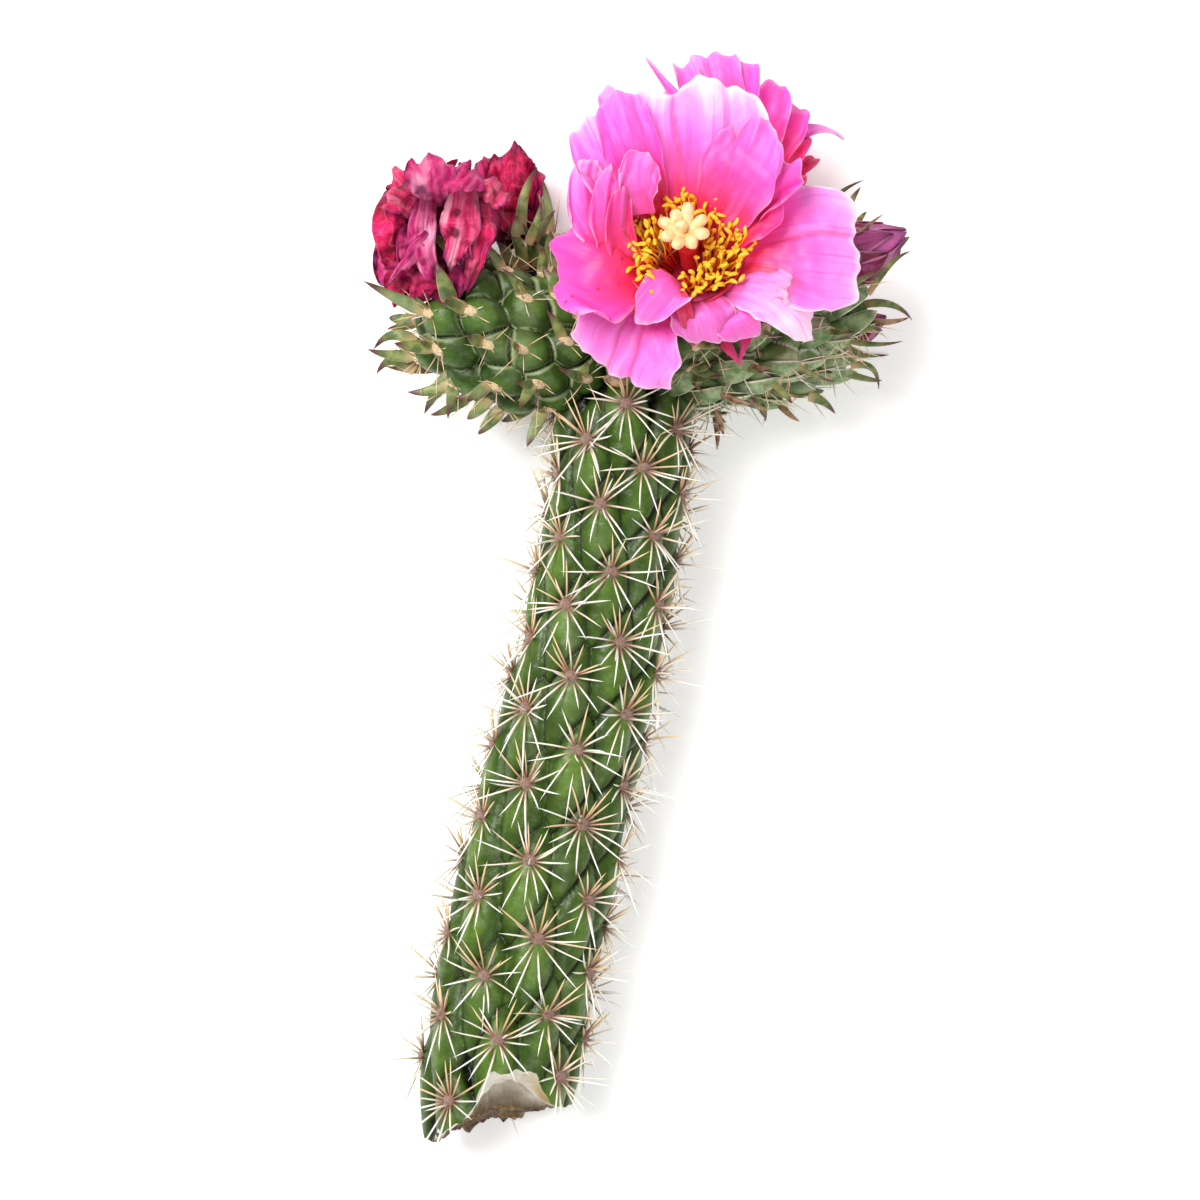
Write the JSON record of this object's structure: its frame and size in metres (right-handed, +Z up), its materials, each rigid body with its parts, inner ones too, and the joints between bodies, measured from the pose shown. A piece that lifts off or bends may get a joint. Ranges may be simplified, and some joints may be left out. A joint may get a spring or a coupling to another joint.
{
  "type": "cane cholla cutting in flower",
  "caption": "Cut joint of a cane cholla cactus lying on its back, spiny stem below, with fruits, buds and wilted and open magenta flowers at its top.",
  "frame": {"origin": "middle of the bounding box at the level of the surface that the cutting lies on", "axes": "+Z up off the surface, +Y along the stem from the cut end to the flowers, +X to the right seen from above"},
  "size_m": [0.1062, 0.2198, 0.0686],
  "materials": {
    "stem_green": "satin",
    "pale_flesh": "matte",
    "fruit_green": "satin",
    "petal_pink": "satin",
    "stamen_yellow": "matte",
    "style_red": "satin",
    "stigma_cream": "satin",
    "wilted_magenta": "matte",
    "bud_purple": "satin"
  },
  "bodies": {
    "root": {"stem": "stem_green", "cut_flesh": "pale_flesh", "left_front_fruit": "fruit_green", "right_front_fruit": "fruit_green", "left_back_fruit": "fruit_green", "right_back_fruit": "fruit_green", "back_fruit": "fruit_green", "centre_fruit": "fruit_green", "centre_bloom_petals": "petal_pink", "back_bloom_petals": "petal_pink", "centre_bloom_stamens": "stamen_yellow", "centre_bloom_style": "style_red", "centre_bloom_stigma": "stigma_cream", "left_front_wilted_bloom": "wilted_magenta", "left_back_wilted_bloom": "wilted_magenta", "right_front_bud": "bud_purple", "right_back_bud": "bud_purple"}
  },
  "joints": []
}
